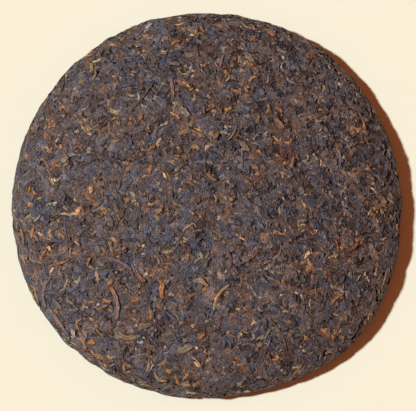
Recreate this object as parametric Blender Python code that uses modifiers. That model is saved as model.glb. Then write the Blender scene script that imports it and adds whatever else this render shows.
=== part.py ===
"""A pressed cake of dark fermented tea, lying face up: one solid.

The cake is a turned body. Its face is domed, its rim is rounded, and its back stands on a flat
foot ring round the dimple that the knot of the pressing bag leaves. Hand pressing makes it a
little uneven: the outline isn't quite round and the face rises and falls by a fraction of a
millimetre. The foot stays flat.

Units are metres. +Z is up, and the origin is at the bottom, in the middle of the bounding box.
"""

import bmesh
import bpy
import numpy as np
from math import cos, pi, radians, sin

CAKE_RADIUS = 0.100
CAKE_HEIGHT = 0.024
RIM_HEIGHT = 0.007  # height of the widest line of the rim
FACE_FULLNESS = 2.2  # superellipse exponent of the face: 2 is an ellipse, more is flatter
FOOT_OUTER_RADIUS = 0.074
UNDERCUT_FULLNESS = 2.2  # superellipse exponent from the rim down to the foot
DIMPLE_RADIUS = 0.031
DIMPLE_DEPTH = 0.007

# Lobes of the outline: (waves round the cake, share of the radius, degrees from +X to a crest).
OUTLINE_LOBES = (
    (3, 0.0080, -34.0),
    (4, 0.0064, -42.0),
    (5, 0.0030, -36.0),
    (6, 0.0015, 15.0),
    (7, 0.0026, 6.0),
)
# Swells of the face: (wavelength, heading in degrees, height, phase in degrees).
FACE_SWELLS = (
    (0.094, 25.0, 0.00034, 40.0),
    (0.061, 118.0, 0.00026, 200.0),
    (0.043, 71.0, 0.00018, 95.0),
    (0.034, 160.0, 0.00014, 310.0),
)

STEPS_ROUND = 112
FACE_POINTS = 18
UNDERCUT_POINTS = 7
FOOT_POINTS = 3
DIMPLE_POINTS = 8
MERGE_DISTANCE = 0.00005

TEA_COLOUR = (0.075, 0.056, 0.050, 1.0)
TEA_ROUGHNESS = 0.62


def clear_scene():
    """Removes every object of the open scene."""
    for old in list(bpy.data.objects):
        bpy.data.objects.remove(old, do_unlink=True)


def face_profile():
    """Points (radius, height) from the middle of the face down to the rim's widest line."""
    points = []
    for i in range(FACE_POINTS + 1):
        turn = 0.5 * pi * i / FACE_POINTS
        radius = CAKE_RADIUS * sin(turn) ** (2 / FACE_FULLNESS)
        rise = (CAKE_HEIGHT - RIM_HEIGHT) * max(cos(turn), 0.0) ** (2 / FACE_FULLNESS)
        points.append((radius, RIM_HEIGHT + rise))
    return points


def undercut_profile():
    """Points from below the rim's widest line, in and down to the foot's outer edge."""
    points = []
    for i in range(1, UNDERCUT_POINTS + 1):
        turn = 0.5 * pi * i / UNDERCUT_POINTS
        reach = (CAKE_RADIUS - FOOT_OUTER_RADIUS) * max(cos(turn), 0.0) ** (2 / UNDERCUT_FULLNESS)
        fall = RIM_HEIGHT * sin(turn) ** (2 / UNDERCUT_FULLNESS)
        points.append((FOOT_OUTER_RADIUS + reach, RIM_HEIGHT - fall))
    return points


def foot_profile():
    """Points across the flat foot, from its outer edge to the lip of the dimple."""
    width = FOOT_OUTER_RADIUS - DIMPLE_RADIUS
    return [(FOOT_OUTER_RADIUS - width * i / FOOT_POINTS, 0.0) for i in range(1, FOOT_POINTS + 1)]


def dimple_profile():
    """Points from the dimple's lip up to its middle: a cosine hollow."""
    points = []
    for i in range(1, DIMPLE_POINTS + 1):
        radius = DIMPLE_RADIUS * (1 - i / DIMPLE_POINTS)
        points.append((radius, DIMPLE_DEPTH * 0.5 * (1 + cos(pi * radius / DIMPLE_RADIUS))))
    return points


def turned_blank(name):
    """The even body: the half profile as an edge chain, turned by a Screw modifier."""
    profile = face_profile() + undercut_profile() + foot_profile() + dimple_profile()
    mesh = bpy.data.meshes.new(name + "_profile")
    points = [(radius, 0.0, height) for radius, height in profile]
    mesh.from_pydata(points, [(i, i + 1) for i in range(len(points) - 1)], [])
    blank = bpy.data.objects.new(name + "_blank", mesh)
    bpy.context.scene.collection.objects.link(blank)
    screw = blank.modifiers.new("turn", "SCREW")
    screw.axis = "Z"
    screw.angle = radians(360)
    screw.steps = STEPS_ROUND
    screw.render_steps = STEPS_ROUND
    screw.use_merge_vertices = True
    screw.merge_threshold = MERGE_DISTANCE
    return blank


def applied(blank, name):
    """The blank's turned mesh as a plain mesh, and the blank removed."""
    graph = bpy.context.evaluated_depsgraph_get()
    mesh = bpy.data.meshes.new_from_object(blank.evaluated_get(graph))
    mesh.name = name
    bpy.data.objects.remove(blank, do_unlink=True)
    shape = bmesh.new()
    shape.from_mesh(mesh)
    bmesh.ops.remove_doubles(shape, verts=shape.verts, dist=MERGE_DISTANCE)
    bmesh.ops.recalc_face_normals(shape, faces=shape.faces)
    shape.to_mesh(mesh)
    shape.free()
    return mesh


def outline_scale(angle):
    """Share of the even radius at each angle round the cake: 1 plus the lobes."""
    scale = np.ones_like(angle)
    for waves, share, crest in OUTLINE_LOBES:
        scale += share * np.cos(waves * (angle - radians(crest)))
    return scale


def face_swell(x, y):
    """Rise of the face at each point: the sum of the plane waves of FACE_SWELLS."""
    rise = np.zeros_like(x)
    for wavelength, heading, height, phase in FACE_SWELLS:
        along = x * cos(radians(heading)) + y * sin(radians(heading))
        rise += height * np.sin(2 * pi * along / wavelength + radians(phase))
    return rise


def press_unevenly(mesh):
    """Gives the turned mesh its uneven outline and face, and centres it over the origin.

    The swell grows with the height over the rim, so the undercut, foot and dimple keep their form.
    """
    flat = np.empty(len(mesh.vertices) * 3, np.float32)
    mesh.vertices.foreach_get("co", flat)
    points = flat.reshape(-1, 3).astype(float)
    points[:, :2] *= outline_scale(np.arctan2(points[:, 1], points[:, 0]))[:, None]
    on_face = np.clip((points[:, 2] - RIM_HEIGHT) / (CAKE_HEIGHT - RIM_HEIGHT), 0.0, 1.0)
    points[:, 2] += on_face * face_swell(points[:, 0], points[:, 1])
    points[:, :2] -= 0.5 * (points[:, :2].min(axis=0) + points[:, :2].max(axis=0))
    mesh.vertices.foreach_set("co", points.astype(np.float32).ravel())
    mesh.update()


def tea_material():
    """Dark, dull fermented leaf."""
    material = bpy.data.materials.new("pressed_tea")
    material.use_nodes = True
    shader = material.node_tree.nodes["Principled BSDF"]
    shader.inputs["Base Color"].default_value = TEA_COLOUR
    shader.inputs["Roughness"].default_value = TEA_ROUGHNESS
    shader.inputs["Metallic"].default_value = 0.0
    return material


def tea_cake(collection):
    """The whole cake, one solid."""
    mesh = applied(turned_blank("tea_cake"), "tea_cake")
    press_unevenly(mesh)
    mesh.shade_smooth()
    mesh.materials.append(tea_material())
    cake = bpy.data.objects.new("tea_cake", mesh)
    collection.objects.link(cake)
    return cake


def main():
    clear_scene()
    collection = bpy.data.collections.new("pressed_tea_cake")
    bpy.context.scene.collection.children.link(collection)
    tea_cake(collection)


main()
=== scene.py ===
"""The looks of a pressed cake of dark fermented tea.

In the frame one solid carries the cake. Here a pressed body with leaf relief stands for it, and on
that body lie the leaves themselves, one piece for each kind: broad leaves, rolled strands, torn
flakes, golden tips, stems, pale shards and crumbs, and last the leaves listed one by one. Every leaf is
a small closed shell that follows the cake's domed face, its rim or its back, and whose crown is
flattened at the press line.

Lengths are metres, the frame's own unit. +Z is up, out of the domed face.
"""

from __future__ import annotations

import logging
from dataclasses import dataclass, field
from enum import Enum
from functools import cache
from math import cos, pi, radians, sin

import bpy
import numpy as np
from mathutils import Matrix, Vector


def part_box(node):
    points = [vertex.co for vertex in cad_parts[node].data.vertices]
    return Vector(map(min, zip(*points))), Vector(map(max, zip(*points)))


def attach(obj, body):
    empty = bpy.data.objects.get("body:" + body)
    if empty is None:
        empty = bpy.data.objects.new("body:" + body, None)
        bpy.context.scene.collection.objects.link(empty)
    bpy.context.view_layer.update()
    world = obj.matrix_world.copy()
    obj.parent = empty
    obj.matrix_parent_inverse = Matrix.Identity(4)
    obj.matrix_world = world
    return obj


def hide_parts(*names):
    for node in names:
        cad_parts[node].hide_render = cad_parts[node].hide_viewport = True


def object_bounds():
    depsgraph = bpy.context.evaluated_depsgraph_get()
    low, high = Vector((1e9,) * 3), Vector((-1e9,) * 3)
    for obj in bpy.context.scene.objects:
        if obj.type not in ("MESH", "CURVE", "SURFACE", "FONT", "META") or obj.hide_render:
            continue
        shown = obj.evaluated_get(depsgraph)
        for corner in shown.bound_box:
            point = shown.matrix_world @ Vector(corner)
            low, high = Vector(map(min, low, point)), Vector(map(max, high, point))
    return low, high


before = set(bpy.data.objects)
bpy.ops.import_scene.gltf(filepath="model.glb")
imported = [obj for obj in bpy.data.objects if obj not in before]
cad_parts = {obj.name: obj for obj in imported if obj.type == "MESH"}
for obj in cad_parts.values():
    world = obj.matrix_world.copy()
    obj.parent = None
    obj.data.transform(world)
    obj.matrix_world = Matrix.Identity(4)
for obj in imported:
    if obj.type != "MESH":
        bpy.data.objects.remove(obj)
CAD_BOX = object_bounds()

BODY = "root"
NODE = "tea_cake"
MM = 0.001
GOLDEN_ANGLE = pi * (3.0 - 5.0**0.5)
UV_MARGIN = 0.08  # of each leaf's cell in the baking map
LEAF_NUMBERS = 40.0  # span of the number that draws each leaf's own grain
LOG = logging.getLogger("tea_cake")

Array = np.ndarray
Colour = tuple[float, float, float]
Span = tuple[float, float]


def mm(low: float, high: float) -> Span:
    """A span given in millimetres."""
    return low * MM, high * MM


class Side(Enum):
    """The two sides of the cake that leaves are laid on."""

    FACE = 0
    BACK = 1


class Section(Enum):
    """Cross-sections of a leaf: points (across, up), over the crown first and then underneath."""

    FOLDED = ((-1.0, 0.0), (-0.66, 0.95), (-0.05, 0.20), (0.60, 1.0), (1.0, 0.0), (0.0, -0.7))
    ROLLED = ((-1.0, 0.0), (-0.62, 0.88), (0.52, 1.0), (1.0, 0.05), (0.0, -0.8))
    ROUND = ((-0.95, 0.1), (-0.45, 0.95), (0.45, 0.95), (0.95, 0.1), (0.5, -0.8), (-0.5, -0.8))
    CHIP = ((-1.0, 0.0), (0.1, 1.0), (1.0, 0.1), (-0.1, -0.9))
    PRESSED = ((-1.0, 0.0), (-0.80, 0.85), (0.76, 1.0), (1.0, 0.05), (0.0, -0.8))
    CREASED = ((-1.0, 0.0), (-0.80, 0.80), (-0.10, 0.45), (0.72, 1.0), (1.0, 0.0), (0.0, -0.7))


@dataclass(frozen=True)
class CakeForm:
    """The form that the leaves lie on: the turned, unevenly pressed disc that the frame carries.

    A place on it is given on one of two charts. A chart is flat: a point's distance from the
    chart's middle is the distance walked along the cake's profile from the pole of that side, and
    its angle is the angle round the cake. Across the chart's right and up, the normal points out.
    """

    radius: float = 0.100
    height: float = 0.024
    rim_height: float = 0.007
    face_fullness: float = 2.2
    foot_radius: float = 0.074
    undercut_fullness: float = 2.2
    dimple_radius: float = 0.031
    dimple_depth: float = 0.007
    lobes: tuple = (
        (3, 0.0080, -34.0),
        (4, 0.0064, -42.0),
        (5, 0.0030, -36.0),
        (6, 0.0015, 15.0),
        (7, 0.0026, 6.0),
    )
    swells: tuple = (
        (0.094, 25.0, 0.00034, 40.0),
        (0.061, 118.0, 0.00026, 200.0),
        (0.043, 71.0, 0.00018, 95.0),
        (0.034, 160.0, 0.00014, 310.0),
    )
    fineness: int = 160
    seam_drop: float = 5.0 * MM
    profile: Array = field(init=False, repr=False)
    rim_walk: float = field(init=False)
    whole_walk: float = field(init=False)
    centre: Array = field(init=False, repr=False)

    def __post_init__(self) -> None:
        """Works out the profile's arc length table and the shift that centres the outline."""
        radius, level = self._half_profile()
        step = np.hypot(np.diff(radius), np.diff(level))
        walk = np.concatenate(([0.0], np.cumsum(step)))
        along_r = np.gradient(radius, walk)
        along_z = np.gradient(level, walk)
        size = np.hypot(along_r, along_z)
        table = np.stack([walk, radius, level, -along_z / size, along_r / size])
        object.__setattr__(self, "profile", table)
        object.__setattr__(self, "rim_walk", float(walk[np.argmax(radius)]))
        object.__setattr__(self, "whole_walk", float(walk[-1]))
        angle = np.linspace(0.0, 2 * pi, 1440, endpoint=False)
        reach = self.radius * self.outline_scale(angle)
        ring = np.stack([reach * np.cos(angle), reach * np.sin(angle)], axis=1)
        low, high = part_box(NODE)
        box_middle = 0.5 * (np.array(low)[:2] + np.array(high)[:2])
        shift = box_middle - 0.5 * (ring.min(axis=0) + ring.max(axis=0))
        object.__setattr__(self, "centre", shift)

    def _half_profile(self) -> tuple[Array, Array]:
        """Radius and height along the half profile, from the face's pole round to the back's.

        Face and undercut are quarter superellipses, sin^(2/n) against cos^(2/n); the foot is a
        straight line and the dimple half a cosine wave.

        Returns:
            The radii and the heights.
        """
        turn = np.linspace(0.0, 0.5 * pi, self.fineness)
        out, up = np.sin(turn), np.maximum(np.cos(turn), 0.0)
        bulge = 2.0 / self.face_fullness
        face_r = self.radius * out**bulge
        face_z = self.rim_height + (self.height - self.rim_height) * up**bulge
        bulge = 2.0 / self.undercut_fullness
        under_r = self.foot_radius + (self.radius - self.foot_radius) * up**bulge
        under_z = self.rim_height * (1.0 - out**bulge)
        foot_r = np.linspace(self.foot_radius, self.dimple_radius, self.fineness // 2)
        dimple_r = np.linspace(self.dimple_radius, 0.0, self.fineness // 2)
        dimple_z = self.dimple_depth * 0.5 * (1 + np.cos(pi * dimple_r / self.dimple_radius))
        radius = np.concatenate([face_r, under_r[1:], foot_r[1:], dimple_r[1:]])
        level = np.concatenate([face_z, under_z[1:], np.zeros_like(foot_r[1:]), dimple_z[1:]])
        return radius, level

    def outline_scale(self, angle: Array) -> Array:
        """Share of the even radius at each angle: 1 plus a cosine for each lobe."""
        scale = np.ones_like(angle)
        for waves, share, crest in self.lobes:
            scale = scale + share * np.cos(waves * (angle - radians(crest)))
        return scale

    def swell(self, x: Array, y: Array) -> Array:
        """Rise of the face at each point: the sum of a few plane waves."""
        rise = np.zeros_like(x)
        for wavelength, heading, height, phase in self.swells:
            along = x * cos(radians(heading)) + y * sin(radians(heading))
            rise = rise + height * np.sin(2 * pi * along / wavelength + radians(phase))
        return rise

    def seam_walk(self, side: Side) -> float:
        """Distance from a side's pole to the line under the rim where the two sides meet."""
        seam = self.rim_walk + self.seam_drop
        return seam if side is Side.FACE else self.whole_walk - seam

    def chart_place(self, x: Array, y: Array) -> tuple[Array, Array]:
        """Places on the face's chart under plan places: the walk to a radius, at the same angle."""
        x, y = x - self.centre[0], y - self.centre[1]
        angle = np.arctan2(y, x)
        face = self.profile[:, self.profile[0] <= self.rim_walk]
        walk = np.interp(np.hypot(x, y) / self.outline_scale(angle), face[1], face[0])
        return walk * np.cos(angle), walk * np.sin(angle)

    def place(self, side: Side, u: Array, v: Array, lift: Array) -> Array:
        """Points of space for chart places, lifted off the form along its normal.

        The distance from the chart's middle looks up radius, height and normal in the profile;
        the radius is scaled by the outline's lobes, and the height rises with the face's swell.
        Nothing goes below the surface that the foot rests on.

        Args:
            side: The chart that u and v are on.
            u: Chart coordinates along X.
            v: Chart coordinates along Y on the face, and against it on the back.
            lift: Heights over the form.

        Returns:
            An array with one more axis than u, of length 3.
        """
        walk = np.hypot(u, v)
        angle = np.arctan2(v, u)
        if side is Side.BACK:
            walk = self.whole_walk - walk
            angle = -angle
        table = self.profile
        radius, level, out, up = (np.interp(walk, table[0], row) for row in table[1:])
        reach = radius * self.outline_scale(angle)
        x, y = reach * np.cos(angle), reach * np.sin(angle)
        on_face = np.clip((level - self.rim_height) / (self.height - self.rim_height), 0.0, 1.0)
        z = level + on_face * self.swell(x, y) + lift * up
        x = x + lift * out * np.cos(angle) + self.centre[0]
        y = y + lift * out * np.sin(angle) + self.centre[1]
        return np.stack([x, y, np.maximum(z, 0.0)], axis=-1)


def plane_wave(u: Array, v: Array, length: float, heading: float, phase: float) -> Array:
    """A sine of height 1 that runs along a heading."""
    return np.sin(2 * pi * (u * cos(heading) + v * sin(heading)) / length + phase)


@dataclass(frozen=True)
class PressRelief:
    """The low hills and creases that pressing leaves in the mass, under and between the leaves."""

    hill_height: float = 0.10 * MM
    hill_lengths: Span = (7.0 * MM, 26.0 * MM)
    hills: int = 26
    crease_depth: float = 0.55 * MM
    creases: int = 17
    crease_walk: float = 34.0 * MM
    crease_reach: float = 13.0 * MM
    seed: int = 11

    def height(self, side: Side, u: Array, v: Array) -> Array:
        """Height of the relief at chart places.

        It is a sum of plane waves of equal steepness in many directions. On the back, creases of
        the gathered cloth run out from the dimple: a power of a cosine round the cake, which
        fades in outside the dimple and out before the rim.
        """
        rng = np.random.default_rng(self.seed + side.value)
        rise = np.zeros_like(u)
        for _ in range(self.hills):
            length = rng.uniform(*self.hill_lengths)
            heading, phase = rng.uniform(0.0, 2 * pi, 2)
            wave = plane_wave(u, v, length, heading, phase)
            rise = rise + self.hill_height * (length / self.hill_lengths[1]) * wave
        if side is Side.BACK:
            walk, angle = np.hypot(u, v), np.arctan2(v, u)
            wander = 0.35 * np.sin(3 * angle + 1.0) + 0.25 * np.sin(5 * angle + 55.0 * walk)
            fold = (0.5 + 0.5 * np.cos(self.creases * angle + 3.0 * wander)) ** 4
            fade = np.exp(-(((walk - self.crease_walk) / self.crease_reach) ** 2))
            rise = rise - self.crease_depth * fold * fade
        return rise


@dataclass(frozen=True)
class Region:
    """How the leaf changes across the cake.

    Each heading is the way that a change grows from the middle, and its gain is how much it
    changes over reach. Lengths are the spans of the waves that make a change patchy.
    """

    reach: float = 0.1
    coarse_heading: float = radians(205.0)
    coarse_gain: float = 0.24
    # Painted shade: the leaf darkens towards this heading, the side turned from the key light.
    shade_heading: float = radians(-10.0)
    shade_gain: float = 0.05
    light: float = 1.285
    loose_middle: float = 0.62
    loose_gain: float = 0.42
    loose_span: Span = (0.25, 1.1)
    loose_lengths: Span = (14.0 * MM, 46.0 * MM)
    gold_lengths: Span = (7.0 * MM, 22.0 * MM)
    warm_lengths: Span = (16.0 * MM, 60.0 * MM)
    warm_middle: float = 0.40
    rim_and_shade_warm_gain: float = 0.22
    warm_seed: int = 5
    gold_seed: int = 105
    loose_seed: int = 205

    def _along(self, u: Array, v: Array, heading: float) -> Array:
        """How far a place lies along a heading, as a share of the reach."""
        return (u * cos(heading) + v * sin(heading)) / self.reach

    def _waves(self, u: Array, v: Array, seed: int, lengths: Span, count: int) -> Array:
        """A sum of plane waves of equal height, with random lengths, headings and phases."""
        rng = np.random.default_rng(seed)
        total = np.zeros_like(u)
        for _ in range(count):
            length = rng.uniform(*lengths)
            heading, phase = rng.uniform(0.0, 2 * pi, 2)
            total = total + plane_wave(u, v, length, heading, phase)
        return total

    def lightness(self, u: Array, v: Array) -> Array:
        """Share of light in the leaf, least towards the shade heading: a painted shade on the side turned
        from the key light.
        """
        return self.light - self.shade_gain * self._along(u, v, self.shade_heading)

    def looseness(self, u: Array, v: Array) -> Array:
        """Low where the leaf is pressed flush, high where it stands apart: coarse leaf is loose."""
        patches = self._waves(u, v, self.loose_seed, self.loose_lengths, 12)
        along = self._along(u, v, self.coarse_heading)
        return np.clip(self.loose_middle + self.loose_gain * along + 0.09 * patches, *self.loose_span)

    def gold(self, u: Array, v: Array) -> Array:
        """From 0 to 1, where the golden tips gather: short waves, in knots of a few leaves."""
        knots = self._waves(u, v, self.gold_seed, self.gold_lengths, 16)
        return np.clip(0.5 + 0.17 * knots, 0.0, 1.0)

    def coarseness(self, u: Array, v: Array) -> Array:
        """Share by which leaves are larger: most towards the coarse heading."""
        return 1.0 + self.coarse_gain * self._along(u, v, self.coarse_heading)

    def warmth(self, u: Array, v: Array) -> Array:
        """From 0, grey, to 1, warm: slow waves, warmer near the rim, and warmer on the right, the side
        turned from the key light, as a painted warm cast of its shade.
        """
        patches = self._waves(u, v, self.warm_seed, self.warm_lengths, 14)
        rim = np.clip(np.hypot(u, v) / self.reach, 0.0, 1.1) ** 4
        right = u / self.reach
        # The gain on the right paints the warm cast of shade on the side turned from the key light.
        return np.clip(self.warm_middle + 0.09 * patches + self.rim_and_shade_warm_gain * (rim + right), 0.0, 1.0)


class NodeBench:
    """A small bench for wiring shader nodes: makes nodes, sets sockets and links them."""

    def __init__(self, tree: bpy.types.NodeTree) -> None:
        """Starts on an empty tree."""
        self.tree = tree
        tree.nodes.clear()

    def add(self, kind: str, inputs: dict | None = None, **settings: object) -> bpy.types.Node:
        """Adds a node.

        Args:
            kind: The node's type name.
            inputs: Socket names or numbers, each with a value or an output socket to link.
            **settings: The node's own properties.

        Returns:
            The new node.
        """
        node = self.tree.nodes.new(kind)
        for name, value in settings.items():
            setattr(node, name, value)
        for key, value in (inputs or {}).items():
            if isinstance(value, bpy.types.NodeSocket):
                self.tree.links.new(value, node.inputs[key])
            else:
                node.inputs[key].default_value = value
        return node

    def maths(self, operation: str, *values: object) -> bpy.types.NodeSocket:
        """Adds a Math node on the given values or sockets, and returns its output."""
        node = self.add("ShaderNodeMath", dict(enumerate(values)), operation=operation)
        return node.outputs[0]

    def remap(self, value: bpy.types.NodeSocket, source: Span, target: Span) -> bpy.types.NodeSocket:
        """Maps a value from one span to another, held at its ends."""
        inputs = {0: value, 1: source[0], 2: source[1], 3: target[0], 4: target[1]}
        return self.add("ShaderNodeMapRange", inputs, clamp=True).outputs[0]

    def mix(self, blend: str, share: object, first: object, second: object) -> bpy.types.NodeSocket:
        """Mixes two colours by the given blend, and returns the result's socket."""
        inputs = {0: share, 6: first, 7: second}
        return self.add("ShaderNodeMix", inputs, data_type="RGBA", blend_type=blend).outputs[2]

    def group(self, tree: bpy.types.NodeTree, inputs: dict) -> bpy.types.Node:
        """Adds a node that stands for a node group, with the group's own sockets."""
        return self.add("ShaderNodeGroup", inputs, node_tree=tree)

    def surface(self, colour: object, rough: object, height: object, depth: float) -> bpy.types.Node:
        """Adds a dull surface with bump and the material's output, and returns its shader."""
        bump = self.add("ShaderNodeBump", {"Height": height, "Distance": depth, "Strength": 1.0})
        look = {"Base Color": colour, "Roughness": rough, "Normal": bump.outputs[0], "Metallic": 0.0}
        shader = self.add("ShaderNodeBsdfPrincipled", look)
        self.add("ShaderNodeOutputMaterial", {"Surface": shader.outputs[0]})
        return shader

    def noise(
        self, at: bpy.types.NodeSocket, scale: object, detail: float, roughness: float = 0.5
    ) -> bpy.types.NodeSocket:
        """Adds a Noise Texture node, and returns the socket of its value."""
        inputs = {"Vector": at, "Scale": scale, "Detail": detail, "Roughness": roughness}
        return self.add("ShaderNodeTexNoise", inputs).outputs[0]


def new_group(name: str, inputs: dict[str, str], outputs: tuple[str, ...]) -> NodeBench:
    """A bench on a new node group.

    Args:
        name: The group's name.
        inputs: Its input sockets, each a name with "Float" or "Vector".
        outputs: The names of its output sockets, all floats.

    Returns:
        The bench, whose tree is the group.
    """
    tree = bpy.data.node_groups.new(name, "ShaderNodeTree")
    for socket, kind in inputs.items():
        tree.interface.new_socket(name=socket, in_out="INPUT", socket_type="NodeSocket" + kind)
    for socket in outputs:
        tree.interface.new_socket(name=socket, in_out="OUTPUT", socket_type="NodeSocketFloat")
    return NodeBench(tree)


@cache
def leaf_grain_group() -> bpy.types.NodeTree:
    """The grain of a dried leaf: wrinkles that run along it, and a finer crumple.

    Place is (across, along, leaf number), the first two in metres, and Wrinkles is their number
    in a metre across. Noise that is stretched along the leaf gives Streak, and Height is Streak
    plus a share of rounder noise.

    Returns:
        The node group, made at its first use.
    """
    bench = new_group("leaf_grain", {"Place": "Vector", "Wrinkles": "Float"}, ("Streak", "Height"))
    ways = bench.add("NodeGroupInput").outputs
    across, along, leaf = bench.add("ShaderNodeSeparateXYZ", {0: ways["Place"]}).outputs
    number = bench.maths("MULTIPLY", leaf, 7.3)

    def noise_at(scale_across: object, scale_along: object, detail: float) -> bpy.types.NodeSocket:
        """Noise with its own scale each way, drawn afresh for each leaf, from 0 to 1."""
        x = bench.maths("MULTIPLY", across, scale_across)
        y = bench.maths("MULTIPLY", along, scale_along)
        at = bench.add("ShaderNodeCombineXYZ", {0: x, 1: y, 2: number}).outputs[0]
        return bench.remap(bench.noise(at, 1.0, detail), (0.3, 0.7), (0.0, 1.0))

    wrinkles = ways["Wrinkles"]
    streak = noise_at(wrinkles, bench.maths("MULTIPLY", wrinkles, 0.22), 2.0)
    crumple = noise_at(1500.0, 1100.0, 1.0)
    height = bench.maths("ADD", streak, bench.maths("MULTIPLY", crumple, 0.4))
    bench.add("NodeGroupOutput", {"Streak": streak, "Height": height})
    return bench.tree


@cache
def tea_dust_group() -> bpy.types.NodeTree:
    """What lies over all leaves alike, on Object coordinates, each from 0 to 1.

    Dust is the bloom of fine tea dust, Polish how smooth pressing left the leaf, and Turn how far
    fermenting turned it from cool to warm: fine mottling over slow patches.

    Returns:
        The node group, made at its first use.
    """
    bench = new_group("tea_dust", {"Speck": "Float"}, ("Dust", "Polish", "Turn"))
    speck = bench.add("NodeGroupInput").outputs["Speck"]
    at = bench.add("ShaderNodeTexCoord").outputs["Object"]
    fine, wide = bench.noise(at, speck, 3.0), bench.noise(at, 55.0, 2.0)
    both = bench.maths("ADD", fine, bench.maths("MULTIPLY", wide, 0.5))
    dust = bench.remap(both, (0.70, 0.98), (0.0, 1.0))
    polish = bench.remap(bench.noise(at, 210.0, 2.0), (0.36, 0.64), (0.0, 1.0))
    mottle, patch = bench.noise(at, 900.0, 4.0, 0.7), bench.noise(at, 95.0, 1.0)
    blend = bench.maths("ADD", mottle, bench.maths("MULTIPLY", patch, 0.45))
    turn = bench.remap(blend, (0.64, 0.86), (0.0, 1.0))
    bench.add("NodeGroupOutput", {"Dust": dust, "Polish": polish, "Turn": turn})
    return bench.tree


@cache
def flake_mosaic_group() -> bpy.types.NodeTree:
    """The mosaic of torn flakes in the pressed mass, on Object coordinates bent by noise.

    Flakes is the number of cells in a metre, and Crack half a crack's width as a share of a cell.
    Flake and Hue are random from 0 to 1 for each flake, and Seam is 0 in the cracks between them
    and 1 on them.

    Returns:
        The node group, made at its first use.
    """
    bench = new_group("flake_mosaic", {"Flakes": "Float", "Crack": "Float"}, ("Flake", "Hue", "Seam"))
    ways = bench.add("NodeGroupInput").outputs
    at = bench.add("ShaderNodeTexCoord").outputs["Object"]
    noise = bench.add("ShaderNodeTexNoise", {"Vector": at, "Scale": 480.0, "Detail": 3.0})
    middle = {0: noise.outputs["Color"], 1: (0.5, 0.5, 0.5)}
    bend = bench.add("ShaderNodeVectorMath", middle, operation="SUBTRACT").outputs[0]
    bend = bench.add("ShaderNodeVectorMath", {0: bend, "Scale": 3.2 * MM}, operation="SCALE").outputs[0]
    bent = bench.add("ShaderNodeVectorMath", {0: at, 1: bend}, operation="ADD").outputs[0]
    place = {"Vector": bent, "Scale": ways["Flakes"]}
    cells = bench.add("ShaderNodeTexVoronoi", place)
    edges = bench.add("ShaderNodeTexVoronoi", place, feature="DISTANCE_TO_EDGE")
    drawn = bench.add("ShaderNodeSeparateColor", {0: cells.outputs["Color"]}).outputs
    crack = {0: edges.outputs["Distance"], 1: 0.0, 2: ways["Crack"], 3: 0.0, 4: 1.0}
    seam = bench.add("ShaderNodeMapRange", crack).outputs[0]
    bench.add("NodeGroupOutput", {"Flake": drawn[0], "Hue": drawn[1], "Seam": seam})
    return bench.tree


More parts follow.
